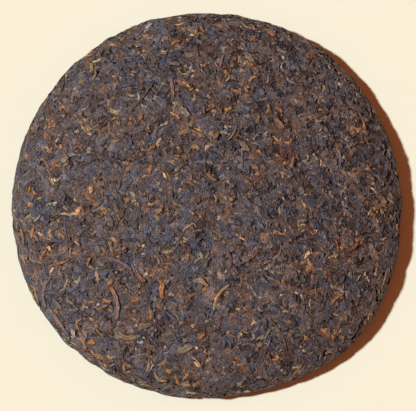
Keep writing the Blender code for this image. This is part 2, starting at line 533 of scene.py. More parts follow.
@dataclass(frozen=True)
class LeafFinish:
    """The finish of one kind of leaf.

    tints are (share, colour); each leaf takes one, and its lightness varies by spread. cool and
    warm are the colours that multiply a leaf where the cake is grey and where it is warm; on the
    side turned from the key light that warmth is a painted warm cast of shade. cool_turn and
    warm_turn are those of the fine mottling. streak_depth, torn and fleck are how far streaks,
    cracks and flakes change its lightness, the darkening in the cracks being painted shade;
    polished and dull give its span of roughness.
    """

    name: str
    tints: tuple[tuple[float, Colour], ...]
    spread: float = 0.21
    cool: Colour = (0.88, 1.02, 1.13)
    warm: Colour = (1.12, 1.0, 0.88)
    wrinkles: float = 2100.0
    streak_depth: float = 0.64
    cool_turn: Colour = (0.68, 0.95, 1.36)
    warm_turn: Colour = (1.44, 1.04, 0.62)
    flakes: float = 750.0
    crack: float = 0.10
    # Painted shade: the cracks between flakes are darkened by this share.
    torn: float = 0.35
    fleck: float = 0.13
    polished: float = 0.40
    dull: float = 0.62
    speck: float = 700.0
    dust: float = 0.12
    dust_colour: Colour = (0.30, 0.24, 0.21)
    bump: float = 0.42 * MM
    sheen: float = 0.0
    sheen_roughness: float = 0.45
    sheen_tint: Colour = (1.0, 0.85, 0.6)

    def pick(self, rng: np.random.Generator, warmth: Array) -> Array:
        """A colour for each leaf: a tint by share, times lightness, times the cake's warmth there.

        Args:
            rng: The kind's own random generator.
            warmth: From 0 to 1 for each leaf.

        Returns:
            Linear colours, one row for each leaf.
        """
        shares = np.array([share for share, _ in self.tints])
        colours = np.array([colour for _, colour in self.tints])
        chosen = rng.choice(len(shares), size=len(warmth), p=shares / shares.sum())
        light = np.exp(self.spread * rng.standard_normal(len(warmth)))
        # Warmth carries the painted warm cast of shade on the side turned from the key light.
        turn = warmth[:, None]
        bias = np.array(self.cool) * (1.0 - turn) + np.array(self.warm) * turn
        return colours[chosen] * light[:, None] * bias

    def material(self) -> bpy.types.Material:
        """Tint times streaks, flakes, painted shade in the cracks and mottling, dusted; polish makes
        roughness, grain bump.
        """
        material = bpy.data.materials.new(self.name)
        material.use_nodes = True
        bench = NodeBench(material.node_tree)
        place = bench.add("ShaderNodeAttribute", attribute_name="leaf_grain").outputs["Vector"]
        tint = bench.add("ShaderNodeAttribute", attribute_name="leaf_tint_and_shade").outputs["Color"]
        grain = bench.group(leaf_grain_group(), {"Place": place, "Wrinkles": self.wrinkles})
        dusting = bench.group(tea_dust_group(), {"Speck": self.speck})
        mosaic = bench.group(flake_mosaic_group(), {"Flakes": self.flakes, "Crack": self.crack})
        depth = bench.remap(grain.outputs["Streak"], (0.0, 1.0), (1.0 - self.streak_depth, 1.0))
        veined = bench.mix("MULTIPLY", 1.0, tint, depth)
        turn = dusting.outputs["Turn"]
        turned = bench.mix("MIX", turn, (*self.cool_turn, 1.0), (*self.warm_turn, 1.0))
        # Painted shade: darker in the cracks between flakes.
        torn = bench.remap(mosaic.outputs["Seam"], (0.0, 1.0), (1.0 - self.torn, 1.0))
        fleck = bench.remap(mosaic.outputs["Flake"], (0.0, 1.0), (1.0 - self.fleck, 1.0 + self.fleck))
        broken = bench.mix("MULTIPLY", 1.0, veined, bench.maths("MULTIPLY", torn, fleck))
        mottled = bench.mix("MULTIPLY", 1.0, broken, turned)
        amount = bench.maths("MULTIPLY", dusting.outputs["Dust"], self.dust)
        colour = bench.mix("MIX", amount, mottled, (*self.dust_colour, 1.0))
        rough = bench.remap(dusting.outputs["Polish"], (0.0, 1.0), (self.dull, self.polished))
        shader = bench.surface(colour, rough, grain.outputs["Height"], self.bump)
        shader.inputs["Sheen Weight"].default_value = self.sheen
        shader.inputs["Sheen Roughness"].default_value = self.sheen_roughness
        shader.inputs["Sheen Tint"].default_value = (*self.sheen_tint, 1.0)
        return material


@dataclass(frozen=True)
class ShellForm:
    """The closed shell of one kind of leaf: a section on each of its rings, and a tip at each end.

    ragged is the unevenness of its width, as a share, and crumple that of its height. smooth
    says whether its faces are shaded as one curved surface.
    """

    section: Section
    rings: int
    ragged: float = 0.20
    crumple: float = 0.06 * MM
    smooth: bool = True


@dataclass(frozen=True)
class LeafHabit:
    """How one kind of leaf has rolled, curled and been pressed. A span is (least, most).

    length, width and thickness are those of the leaf. bend and s_bend are spreads of its turn in
    the plane; roll and twist turn it about its own line; dip is how far its ends dive. top is the
    height of its crown over the form, and bias above 1 brings more leaves up to the top.
    """

    shell: ShellForm
    length: Span
    width: Span
    thickness: Span
    top: Span
    dip: Span
    bend: float = radians(45.0)
    s_bend: float = radians(20.0)
    roll: float = radians(12.0)
    twist: float = radians(25.0)
    wave: float = 0.08 * MM
    blunt: Span = (0.22, 0.60)
    bias: float = 1.5


@dataclass
class LeafRun:
    """Many leaves on one side of the cake: a row of every array is one leaf."""

    side: Side
    u: Array
    v: Array
    heading: Array
    length: Array
    width: Array
    thickness: Array
    top: Array
    dip: Array
    bend: Array
    s_bend: Array
    roll: Array
    twist: Array
    wave: Array
    blunt: Array
    skew: Array
    press: Array
    tint: Array
    number: Array


@dataclass
class ShellArrays:
    """Arrays of joined closed shells, ready for a mesh."""

    points: Array
    corners: Array
    starts: Array
    uv: Array
    grain: Array
    tint: Array


@dataclass(frozen=True)
class LeafPress:
    """Makes leaf shells that lie on the cake and are flattened at the press line, their tint darkened by
    painted shade the deeper they lie under it.
    """

    form: CakeForm
    relief: PressRelief
    softness: float = 0.06 * MM
    # The two values below paint shade: the tint darkens the deeper a point lies under the press line.
    painted_shade_depth: float = 0.55 * MM
    painted_shade_strength: float = 0.62

    def surface(self, run: LeafRun, shell: ShellForm) -> tuple[Array, Array, Array]:
        """The points of every leaf of a run: a tip, rings of the section, and a tip.

        The centre line turns by bend, evenly, and by s_bend, as a sine. The width is a power of a
        sine of the way along. The section is turned by roll and twist, sunk so that its crown is
        at top, and its ends dive by dip times the square of the distance from the middle. What
        rises over the press line is held down by a soft minimum.

        Args:
            run: The leaves.
            shell: Their cross-section, rings and unevenness.

        Returns:
            Points (leaf, point, 3), grain places (leaf, point, 3) and painted shade (leaf, point), lower
            the deeper a point lies under the press line.
        """
        rings, count = shell.rings, len(run.u)
        rng = np.random.default_rng(count)
        even = np.linspace(0.0, 1.0, rings + 2)
        s = 0.5 * even + 0.25 * (1.0 - np.cos(pi * even))
        middle = 0.5 * (s[1:] + s[:-1])
        col = (slice(None), None)

        def heading_at(way: Array) -> Array:
            """Heading along the leaf: a steady turn and a sine."""
            swing = run.s_bend[col] * np.sin(2 * pi * way)
            return run.heading[col] + run.bend[col] * (way - 0.5) + swing

        turn = heading_at(middle)
        stride = run.length[col] * np.diff(s)
        line_u = np.concatenate([0 * run.u[col], np.cumsum(stride * np.cos(turn), axis=1)], axis=1)
        line_v = np.concatenate([0 * run.v[col], np.cumsum(stride * np.sin(turn), axis=1)], axis=1)
        line_u += run.u[col] - line_u.mean(axis=1, keepdims=True)
        line_v += run.v[col] - line_v.mean(axis=1, keepdims=True)
        fill = np.sin(pi * s[None, :] ** run.skew[col])
        half = 0.5 * run.width[col] * np.maximum(fill, 0.0) ** run.blunt[col]
        thick = 0.5 * run.thickness[col] * (0.25 + 0.75 * np.maximum(fill, 0.0))
        dive = run.dip[col] * (2.0 * s[None, :] - 1.0) ** 2
        ripple = run.wave[col] * np.sin(2 * pi * (2.2 * s[None, :] + run.number[col]))
        level = run.top[col] - thick - dive + ripple

        across, up = np.array(shell.section.value).T
        body = slice(1, -1)
        half = half * (1.0 + shell.ragged * rng.standard_normal(half.shape))
        roll = (run.roll[col] + run.twist[col] * (s[None, :] - 0.5))[:, body, None]
        wide, deep = half[:, body, None] * across, thick[:, body, None] * up
        off = wide * np.cos(roll) - deep * np.sin(roll)
        rise = wide * np.sin(roll) + deep * np.cos(roll)
        theta = heading_at(s[body][None, :])[:, :, None]
        ring_u = line_u[:, body, None] - off * np.sin(theta)
        ring_v = line_v[:, body, None] + off * np.cos(theta)
        ring_h = level[:, body, None] + rise
        ring_h = ring_h + shell.crumple * rng.standard_normal(ring_h.shape)

        u = np.concatenate([line_u[:, :1], ring_u.reshape(count, -1), line_u[:, -1:]], axis=1)
        v = np.concatenate([line_v[:, :1], ring_v.reshape(count, -1), line_v[:, -1:]], axis=1)
        h = np.concatenate([level[:, :1], ring_h.reshape(count, -1), level[:, -1:]], axis=1)
        over = (run.press[col] - h) / self.softness
        h = run.press[col] - self.softness * np.logaddexp(0.0, over)
        points = self.form.place(run.side, u, v, h + self.relief.height(run.side, u, v))

        grain = np.zeros_like(points)
        grain[:, 1:-1, 0] = (0.5 * run.width[:, None, None] * across + 0 * ring_u).reshape(count, -1)
        ring_along = np.broadcast_to(s[body][:, None], ring_u.shape[1:]).reshape(-1)
        grain[:, 1:-1, 1] = run.length[col] * ring_along
        grain[:, -1, 1] = run.length
        grain[:, :, 2] = run.number[col]
        # Painted shade: the tint darkens the deeper a point lies under the press line, as if shaded in the
        # gaps.
        depth = np.clip((run.press[col] - h) / self.painted_shade_depth, 0.0, 1.0)
        return points, grain, 1.0 - self.painted_shade_strength * depth

    def shells(self, runs: list[LeafRun], shell: ShellForm) -> ShellArrays:
        """Joins the leaves of several runs into one set of closed shells.

        Each shell has quads between its rings and a fan of triangles at each tip. Each leaf has a
        cell of its own in the baking map: along the leaf one way, round the section the other.
        """
        made = [self.surface(run, shell) for run in runs]
        rings = shell.rings
        points = np.concatenate([m[0] for m in made])
        grain = np.concatenate([m[1] for m in made])
        painted_shade = np.concatenate([m[2] for m in made])
        tint = np.concatenate([run.tint for run in runs])
        count, per_leaf = points.shape[:2]
        around = len(shell.section.value)

        j = np.arange(around)
        after = (j + 1) % around
        i = np.arange(rings - 1)[:, None]
        near, far = 1 + i * around, 1 + (i + 1) * around
        quads = np.stack([near + j, far + j, far + after, near + after], axis=-1).reshape(-1, 4)
        first, last = 1, 1 + (rings - 1) * around
        start_fan = np.stack([0 * j, first + j, first + after], axis=-1)
        end_fan = np.stack([last + j, 0 * j + per_leaf - 1, last + after], axis=-1)
        fans = np.concatenate([start_fan, end_fan])
        one = np.concatenate([quads.ravel(), fans.ravel()])
        corners = (one[None, :] + per_leaf * np.arange(count)[:, None]).ravel()
        sizes = np.concatenate([np.full(len(quads), 4), np.full(len(fans), 3)])
        all_sizes = np.tile(sizes, count)
        starts = np.concatenate([[0], np.cumsum(all_sizes)[:-1]])

        step = 1.0 / (rings + 1)
        low, high = (i + 1) * step + 0 * j, (i + 2) * step + 0 * j
        here, there = (j + 0 * i) / around, (j + 1 + 0 * i) / around
        quad_uv = np.stack([low, here, high, here, high, there, low, there], axis=-1).reshape(-1, 2)
        a, b, mid = j / around, (j + 1) / around, (j + 0.5) / around
        ones = np.ones(around)
        start_uv = np.stack([0 * ones, mid, step * ones, a, step * ones, b], axis=-1).reshape(-1, 2)
        inner = (1.0 - step) * ones
        end_uv = np.stack([inner, a, ones, mid, inner, b], axis=-1).reshape(-1, 2)
        cell_uv = UV_MARGIN + (1.0 - 2 * UV_MARGIN) * np.concatenate([quad_uv, start_uv, end_uv])
        cells = int(np.ceil(np.sqrt(count)))
        order = np.arange(count)
        origin = np.stack([order % cells, order // cells], axis=-1)
        uv = (origin[:, None, :] + cell_uv[None, :, :]) / cells

        # The tint times the painted shade of depth under the press line.
        colour = tint[:, None, :] * painted_shade[:, :, None]
        alpha = np.ones((count, per_leaf, 1))
        return ShellArrays(
            points=points.reshape(-1, 3),
            corners=corners,
            starts=starts,
            uv=uv.reshape(-1, 2),
            grain=grain.reshape(-1, 3),
            tint=np.concatenate([colour, alpha], axis=-1).reshape(-1, 4),
        )


def mesh_piece(
    name: str, shells: ShellArrays, material: bpy.types.Material, smooth: bool = True
) -> bpy.types.Object:
    """Puts shell arrays into a mesh, and the mesh into a piece that rides on the cake's body.

    Args:
        name: The piece's name.
        shells: Points, faces, baking map and attributes.
        material: The piece's finish.
        smooth: Whether its faces are shaded as one curved surface.

    Returns:
        The new object, at the origin.
    """
    mesh = bpy.data.meshes.new(name)
    mesh.vertices.add(len(shells.points))
    mesh.vertices.foreach_set("co", shells.points.astype(np.float32).ravel())
    mesh.loops.add(len(shells.corners))
    mesh.loops.foreach_set("vertex_index", shells.corners.astype(np.int32))
    mesh.polygons.add(len(shells.starts))
    mesh.polygons.foreach_set("loop_start", shells.starts.astype(np.int32))
    mesh.polygons.foreach_set("use_smooth", np.full(len(shells.starts), smooth))
    mesh.update(calc_edges=True)
    layer = mesh.uv_layers.new(name="OFBake")
    layer.data.foreach_set("uv", shells.uv.astype(np.float32).ravel())
    grain = mesh.attributes.new("leaf_grain", "FLOAT_VECTOR", "POINT")
    grain.data.foreach_set("vector", shells.grain.astype(np.float32).ravel())
    tint = mesh.attributes.new("leaf_tint_and_shade", "FLOAT_COLOR", "POINT")
    tint.data.foreach_set("color", shells.tint.astype(np.float32).ravel())
    mesh.materials.append(material)
    piece = bpy.data.objects.new(name, mesh)
    bpy.context.scene.collection.objects.link(piece)
    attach(piece, BODY)
    LOG.info("%s: %d triangles", name, len(shells.corners) - 2 * len(shells.starts))
    return piece


@dataclass
class LeafKind:
    """One kind of leaf, scattered over the face, the rim and the back of the cake.

    face_share is the share of the leaves on the face. gathering is how far they keep to the golden
    knots, and rim_along how far they run along the rim near it. press_line is the height over the
    form that pressing holds crowns down to, and lower at random by about press_spread; back_depth
    is how much deeper all lies on the back.
    """

    name: str
    count: int
    habit: LeafHabit
    finish: LeafFinish
    seed: int
    face_share: float = 0.58
    gathering: float = 0.0
    rim_along: float = 0.55
    press_line: float = 0.08 * MM
    press_spread: float = 0.10 * MM
    back_depth: float = 0.50 * MM
    back_looseness: float = 0.7

    def _scatter(
        self, side: Side, count: int, form: CakeForm, rng: np.random.Generator
    ) -> tuple[Array, Array]:
        """Chart places that cover a side evenly: a sunflower spiral, shaken by one spacing.

        The radius grows with the root of the leaf's number and the angle by the golden angle.
        """
        reach = form.seam_walk(side) + 2.0 * MM
        number = np.arange(count) + 0.5
        walk = reach * np.sqrt(number / count)
        angle = number * GOLDEN_ANGLE + rng.uniform(0.0, 2 * pi)
        shake = 0.9 * reach * (pi / count) ** 0.5
        u = walk * np.cos(angle) + rng.normal(0.0, shake, count)
        v = walk * np.sin(angle) + rng.normal(0.0, shake, count)
        return u, v

    def run(self, side: Side, count: int, form: CakeForm, region: Region) -> LeafRun:
        """Draws every leaf of one side.

        Args:
            side: The side to lay them on.
            count: How many.
            form: The cake.
            region: How size and warmth change across it.

        Returns:
            The leaves.
        """
        rng = np.random.default_rng(1000 * self.seed + side.value)
        habit = self.habit
        u, v = self._scatter(side, count, form, rng)
        warmth = region.warmth(u, v)
        if self.gathering > 0.0:
            keep = rng.random(count) < 1.0 - self.gathering + self.gathering * region.gold(u, v)
            u, v, warmth = u[keep], v[keep], warmth[keep]
            count = len(u)

        def between(span: Span, power: float = 1.0) -> Array:
            """Even draws from a span; a power above 1 leans them to its low end."""
            return span[0] + (span[1] - span[0]) * rng.random(count) ** power

        coarse = region.coarseness(u, v) if side is Side.FACE else np.ones(count)
        walk, angle = np.hypot(u, v), np.arctan2(v, u)
        near_rim = np.clip((walk - form.rim_walk + 14.0 * MM) / (10.0 * MM), 0.0, 1.0)
        free = 1.0 - self.rim_along * near_rim
        heading = angle + 0.5 * pi + free * rng.uniform(-0.5 * pi, 0.5 * pi, count)
        heading = heading + pi * rng.integers(0, 2, count)
        loose = region.looseness(u, v) if side is Side.FACE else np.full(count, self.back_looseness)
        sink = (habit.top[1] - habit.top[0]) * rng.random(count) ** habit.bias
        deeper = self.back_depth if side is Side.BACK else 0.0
        top = loose * (habit.top[1] - sink) - deeper
        uneven = (0.5 + 0.5 * loose) * self.press_spread * np.abs(rng.standard_normal(count))
        return LeafRun(
            side=side,
            u=u,
            v=v,
            heading=heading,
            length=between(habit.length, 1.6) * coarse,
            width=between(habit.width, 1.4) * coarse,
            thickness=between(habit.thickness),
            top=top,
            dip=between(habit.dip),
            bend=habit.bend * rng.standard_normal(count),
            s_bend=habit.s_bend * rng.standard_normal(count),
            roll=habit.roll * loose * rng.standard_normal(count),
            twist=habit.twist * rng.standard_normal(count),
            wave=habit.wave * rng.random(count),
            blunt=between(habit.blunt),
            skew=np.exp(0.25 * rng.standard_normal(count)),
            press=loose * self.press_line - uneven - deeper,
            # The tint takes the painted shade and the painted warm cast on the side turned from the key
            # light.
            tint=self.finish.pick(rng, warmth) * region.lightness(u, v)[:, None],
            number=rng.random(count) * LEAF_NUMBERS,
        )

    def build(self, press: LeafPress, region: Region) -> bpy.types.Object:
        """Makes the kind's one joined piece."""
        on_face = int(round(self.count * self.face_share))
        runs = [
            self.run(Side.FACE, on_face, press.form, region),
            self.run(Side.BACK, self.count - on_face, press.form, region),
        ]
        shell = self.habit.shell
        arrays = press.shells(runs, shell)
        return mesh_piece(self.name, arrays, self.finish.material(), shell.smooth)


@dataclass(frozen=True)
class Laid:
    """One listed leaf: plan place, length and width in millimetres, angles in degrees.

    A leaf's heading is that of its middle; it turns by bend from end to end.
    """

    x: float
    y: float
    length: float
    width: float
    heading: float
    bend: float = 0.0


@dataclass
class LaidLeaves:
    """The leaves that stand out on the face, each given in a list and laid on top of the scattered ones.

    A leaf narrows to its ends, so its widest is its own width times breadth. thickness is the most
    that a leaf has; top, press_line and dip are as for the scattered kinds.
    """

    name: str
    finish: LeafFinish
    leaves: tuple[Laid, ...]
    seed: int
    section: Section = Section.ROLLED
    thickness: float = 0.95 * MM
    top: float = 0.62 * MM
    press_line: float = 0.58 * MM
    dip: float = 0.50 * MM
    blunt: float = 0.24
    breadth: float = 1.3

    def build(self, press: LeafPress, region: Region) -> bpy.types.Object:
        """Makes the one joined piece of these leaves."""
        rng = np.random.default_rng(self.seed)
        count = len(self.leaves)
        sizes = np.array([(leaf.x, leaf.y, leaf.length, leaf.width) for leaf in self.leaves]) * MM
        turns = np.radians([(leaf.heading, leaf.bend) for leaf in self.leaves])
        u, v = press.form.chart_place(sizes[:, 0], sizes[:, 1])
        run = LeafRun(
            side=Side.FACE,
            u=u,
            v=v,
            heading=turns[:, 0],
            length=sizes[:, 2],
            width=sizes[:, 3] * self.breadth,
            thickness=np.minimum(self.thickness, 0.8 * sizes[:, 3]),
            top=np.full(count, self.top),
            dip=self.dip * rng.uniform(0.5, 1.0, count),
            bend=turns[:, 1],
            s_bend=radians(9.0) * rng.standard_normal(count),
            roll=radians(8.0) * rng.standard_normal(count),
            twist=radians(22.0) * rng.standard_normal(count),
            wave=np.full(count, 0.06 * MM),
            blunt=np.full(count, self.blunt),
            skew=np.exp(0.15 * rng.standard_normal(count)),
            press=np.full(count, self.press_line),
            # The tint takes the painted shade and the painted warm cast on the side turned from the key
            # light.
            tint=self.finish.pick(rng, region.warmth(u, v)) * region.lightness(u, v)[:, None],
            number=rng.random(count) * LEAF_NUMBERS,
        )
        shell = ShellForm(self.section, rings=9, ragged=0.14)
        return mesh_piece(self.name, press.shells([run], shell), self.finish.material())


@dataclass
class PressedBody:
    """The mass under the loose leaf: one closed body with leaf relief, which stands for the solid.

    Each side is a square grid bent to a disc, and the two meet on one line under the rim. The body
    lies sunk under the form, and its relief is leaf_relief high, stamped into a raster whose points
    are raster_step apart; a stamp reaches stamp_reach of them each way. The tint runs from gap_shade_tint
    in the gaps, darkened there as painted shade, to high_tint on the crowns.
    """

    form: CakeForm
    relief: PressRelief
    name: str = "pressed_body"
    cells: int = 140
    sunk: float = 0.85 * MM
    leaf_relief: float = 0.60 * MM
    raster_step: float = 0.5 * MM
    stamps: int = 7600
    stamp_reach: int = 9
    stamp_length: Span = (1.6 * MM, 4.6 * MM)
    stamp_width: Span = (0.5 * MM, 1.3 * MM)
    seed: int = 77
    # Painted shade: the tint is darkest in the gaps between the stamped leaves.
    gap_shade_tint: Colour = (0.014, 0.012, 0.013)
    high_tint: Colour = (0.062, 0.052, 0.054)
    flakes: float = 620.0
    crack: float = 0.16
    flake_light: Span = (0.5, 1.6)
    # Painted shade: the cracks between flakes darken to the low end of this span.
    painted_crack_shade: Span = (0.3, 1.0)
    grit: float = 1500.0
    speck: float = 800.0
    bump: float = 0.22 * MM
    roughness: Span = (0.8, 0.6)
    cool_turn: tuple[float, ...] = (0.84, 0.96, 1.10, 1.0)
    warm_turn: tuple[float, ...] = (1.75, 1.05, 0.70, 1.0)

    def _stamped(self, side: Side) -> Array:
        """A square raster of pressed leaf, from 0 in the gaps to 1 on the crowns.

        Each stamp is a long low mound, 1 less the squares of its distances along and across. The
        highest mound counts at each raster point.
        """
        rng = np.random.default_rng(self.seed + side.value)
        reach = self.form.seam_walk(side) + 4.0 * MM
        size = int(2 * reach / self.raster_step) + 1
        window = np.arange(-self.stamp_reach, self.stamp_reach + 1)
        margin = self.stamp_reach + 1
        row, column = (rng.integers(margin, size - margin, self.stamps) for _ in range(2))
        heading = rng.uniform(0.0, pi, self.stamps)[:, None, None]
        long_way = rng.uniform(*self.stamp_length, self.stamps)[:, None, None]
        wide = rng.uniform(*self.stamp_width, self.stamps)[:, None, None]
        crown = rng.uniform(0.45, 1.0, self.stamps)[:, None, None]
        x = window[None, None, :] * self.raster_step
        y = window[None, :, None] * self.raster_step
        along = (x * np.cos(heading) + y * np.sin(heading)) / long_way
        across = (y * np.cos(heading) - x * np.sin(heading)) / wide
        mound = crown * np.clip(1.0 - along**2 - across**2, 0.0, 1.0) ** 0.5
        rows = row[:, None, None] + window[None, :, None] + 0 * window[None, None, :]
        columns = column[:, None, None] + window[None, None, :] + 0 * window[None, :, None]
        raster = np.zeros((size, size))
        np.maximum.at(raster, (rows, columns), mound)
        return raster

    def _read(self, raster: Array, u: Array, v: Array) -> Array:
        """Reads a raster between its points, by the four nearest."""
        size = len(raster)
        half = 0.5 * (size - 1) * self.raster_step
        x = np.clip((u + half) / self.raster_step, 0.0, size - 1.001)
        y = np.clip((v + half) / self.raster_step, 0.0, size - 1.001)
        i, j = x.astype(int), y.astype(int)
        fx, fy = x - i, y - j
        low = raster[j, i] * (1 - fx) + raster[j, i + 1] * fx
        high = raster[j + 1, i] * (1 - fx) + raster[j + 1, i + 1] * fx
        return low * (1 - fy) + high * fy

    def _disc(self, reach: float) -> tuple[Array, Array]:
        """A square grid bent to a disc: each ring of the square becomes a circle of the same size.

        On the ring at distance m from the middle, the angle round the circle runs evenly with the
        way along the square's side.
        """
        edge = np.linspace(-1.0, 1.0, self.cells + 1)
        a, b = np.meshgrid(edge, edge)
        wide = np.abs(a) >= np.abs(b)
        ring = np.where(wide, a, b)
        safe = np.where(ring == 0.0, 1.0, ring)
        angle = np.where(wide, 0.25 * pi * b / safe, 0.5 * pi - 0.25 * pi * a / safe)
        return reach * ring * np.cos(angle), reach * ring * np.sin(angle)

    def _half(self, side: Side) -> tuple[Array, Array]:
        """Points and tint shares of one side's grid."""
        reach = self.form.seam_walk(side)
        u, v = self._disc(reach)
        leaf = self._read(self._stamped(side), u, v)
        fade = np.clip((reach - np.hypot(u, v)) / (5.0 * MM), 0.0, 1.0)
        hills = self.relief.height(side, u, v) * fade
        lift = -self.sunk + self.leaf_relief * (0.5 + (leaf - 0.5) * fade) + hills
        return self.form.place(side, u, v, lift), leaf

    def build(self) -> bpy.types.Object:
        """Joins the two grids along their common edge, and hides the solid it stands for."""
        side_points = self.cells + 1
        face_points, face_leaf = self._half(Side.FACE)
        back_points, back_leaf = self._half(Side.BACK)
        index = np.arange(side_points**2).reshape(side_points, side_points)
        back_index = index + side_points**2
        # The back's chart is mirrored in Y, so its edge meets the face's edge upside down.
        edge = np.ones_like(index, bool)
        edge[1:-1, 1:-1] = False
        back_index = np.where(edge, index[::-1, :], back_index)

        def cells_of(grid: Array) -> Array:
            """Quads of a grid of point numbers, turning right to up."""
            corners = (grid[:-1, :-1], grid[:-1, 1:], grid[1:, 1:], grid[1:, :-1])
            return np.stack(corners, axis=-1).reshape(-1, 4)

        quads = np.concatenate([cells_of(index), cells_of(back_index)])
        points = np.concatenate([face_points.reshape(-1, 3), back_points.reshape(-1, 3)])
        leaf = np.concatenate([face_leaf.ravel(), back_leaf.ravel()])
        used, fresh = np.unique(quads, return_inverse=True)
        corners = fresh.reshape(-1)
        way = np.linspace(0.0, 1.0, side_points)
        flat = np.stack(np.meshgrid(way, way), axis=-1).reshape(-1, 2)
        face_uv = flat * (0.48, 0.98) + (0.01, 0.01)
        back_uv = flat * (0.48, 0.98) + (0.51, 0.01)
        grid_quads = cells_of(index).reshape(-1)
        uv = np.concatenate([face_uv[grid_quads], back_uv[grid_quads]])
        low, high = np.array(self.gap_shade_tint), np.array(self.high_tint)
        # The tint darkens towards the gaps as painted shade.
        tint = low + (high - low) * leaf[used][:, None] ** 1.5
        arrays = ShellArrays(
            points=points[used],
            corners=corners,
            starts=4 * np.arange(len(quads)),
            uv=uv,
            grain=points[used],
            tint=np.concatenate([tint, np.ones((len(tint), 1))], axis=1),
        )
        piece = mesh_piece(self.name, arrays, self.material())
        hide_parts(NODE)
        return piece

    def material(self) -> bpy.types.Material:
        """Dark packed leaf: the relief's tint with its painted shade, broken up by small flakes whose
        cracks are darkened as painted shade, with fine bump.
        """
        material = bpy.data.materials.new("packed_leaf")
        material.use_nodes = True
        bench = NodeBench(material.node_tree)
        at = bench.add("ShaderNodeTexCoord").outputs["Object"]
        tint = bench.add("ShaderNodeAttribute", attribute_name="leaf_tint_and_shade").outputs["Color"]
        mosaic = bench.group(flake_mosaic_group(), {"Flakes": self.flakes, "Crack": self.crack})
        flake, hue, seam = (mosaic.outputs[name] for name in ("Flake", "Hue", "Seam"))
        fleck = bench.remap(flake, (0.0, 1.0), self.flake_light)
        # Painted shade: darker in the cracks between flakes.
        torn = bench.remap(seam, (0.0, 1.0), self.painted_crack_shade)
        lit = bench.mix("MULTIPLY", 1.0, tint, bench.maths("MULTIPLY", fleck, torn))
        warm = bench.remap(hue, (0.3, 1.0), (0.0, 1.0))
        turned = bench.mix("MIX", warm, self.cool_turn, self.warm_turn)
        colour = bench.mix("MULTIPLY", 1.0, lit, turned)
        grit = bench.maths("MULTIPLY", bench.noise(at, self.grit, 3.0), 0.5)
        level = bench.maths("ADD", grit, seam)
        height = bench.maths("ADD", level, bench.maths("MULTIPLY", flake, 0.8))
        dusting = bench.group(tea_dust_group(), {"Speck": self.speck})
        rough = bench.remap(dusting.outputs["Polish"], (0.0, 1.0), self.roughness)
        bench.surface(colour, rough, height, self.bump)
        return material


BROWN_TINTS = (
    (0.30, (0.092, 0.058, 0.046)),
    (0.30, (0.130, 0.080, 0.056)),
    (0.25, (0.180, 0.112, 0.070)),
    (0.15, (0.072, 0.048, 0.042)),
)
DARK_TINTS = (
    (0.30, (0.038, 0.036, 0.042)),
    (0.40, (0.056, 0.053, 0.062)),
    (0.30, (0.080, 0.073, 0.080)),
)
GREY_TINTS = (
    (0.30, (0.084, 0.081, 0.094)),
    (0.30, (0.090, 0.080, 0.084)),
    (0.25, (0.118, 0.106, 0.110)),
    (0.15, (0.160, 0.142, 0.138)),
)
GOLD_TINTS = (
    (0.30, (0.290, 0.168, 0.068)),
    (0.35, (0.350, 0.232, 0.104)),
    (0.20, (0.260, 0.124, 0.050)),
    (0.15, (0.440, 0.322, 0.182)),
)
STEM_TINTS = (
    (0.5, (0.135, 0.060, 0.040)),
    (0.3, (0.180, 0.088, 0.052)),
    (0.2, (0.085, 0.045, 0.036)),
)
PALE_TINTS = (
    (0.4, (0.290, 0.220, 0.145)),
    (0.3, (0.230, 0.185, 0.140)),
    (0.2, (0.180, 0.160, 0.100)),
    (0.1, (0.460, 0.385, 0.290)),
)
ORANGE_TINTS = ((0.6, (0.330, 0.165, 0.062)), (0.4, (0.300, 0.130, 0.050)))
TAN_TINTS = ((0.5, (0.330, 0.250, 0.150)), (0.5, (0.240, 0.200, 0.130)))
CHESTNUT_TINTS = ((0.5, (0.175, 0.116, 0.094)), (0.5, (0.220, 0.140, 0.108)))
SLATE_TINTS = ((0.6, (0.066, 0.062, 0.072)), (0.4, (0.090, 0.084, 0.092)))


